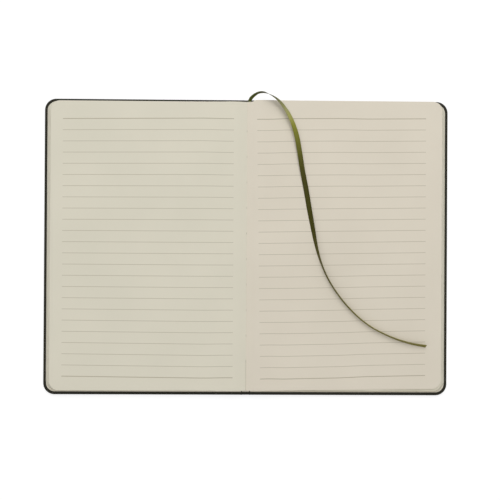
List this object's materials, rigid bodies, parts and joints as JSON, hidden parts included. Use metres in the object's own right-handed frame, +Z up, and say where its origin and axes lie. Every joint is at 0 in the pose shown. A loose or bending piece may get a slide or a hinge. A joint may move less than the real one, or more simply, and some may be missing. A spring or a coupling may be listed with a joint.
{
  "type": "open casebound notebook",
  "caption": "Casebound notebook with rounded corners, lying open at ruled pages, with a ribbon marker; its covers turn about the spine to close it.",
  "frame": {"origin": "on the table, under the middle of the spine, half way from head to tail", "axes": "+X towards the fore-edge of the back cover (right), +Y towards the head of the pages, +Z up from the table"},
  "size_m": [0.286, 0.2139, 0.0142],
  "materials": {
    "board": "grey board",
    "covering": "near-black, fine leather grain, satin",
    "endpaper": "matte cream paper",
    "pages": "matte cream paper, cut leaf edges",
    "ruling": "pale grey-brown printed lines",
    "thread": "waxed cream thread",
    "ribbon": "olive green satin ribbon"
  },
  "bodies": {
    "spine": {"spine_strip": "board", "spine_covering": "covering", "spine_lining": "endpaper", "sewing_thread": "thread"},
    "front_cover": {"front_board": "board", "front_covering": "covering", "front_pastedown": "endpaper", "left_pages": "pages", "left_ruling": "ruling"},
    "back_cover": {"back_board": "board", "back_covering": "covering", "back_pastedown": "endpaper", "right_pages": "pages", "right_ruling": "ruling", "ribbon_marker": "ribbon"}
  },
  "joints": [
    {"name": "front_hinge", "type": "hinge", "parent": "spine", "child": "front_cover", "pos_m": [-0.00255, 0, 0.00485], "axis": [0, 1, 0], "range_deg": [0, 90], "deforming": ["ribbon_marker"]},
    {"name": "back_hinge", "type": "hinge", "parent": "spine", "child": "back_cover", "pos_m": [0.00255, 0, 0.00485], "axis": [0, -1, 0], "range_deg": [0, 90], "deforming": ["ribbon_marker"]}
  ]
}
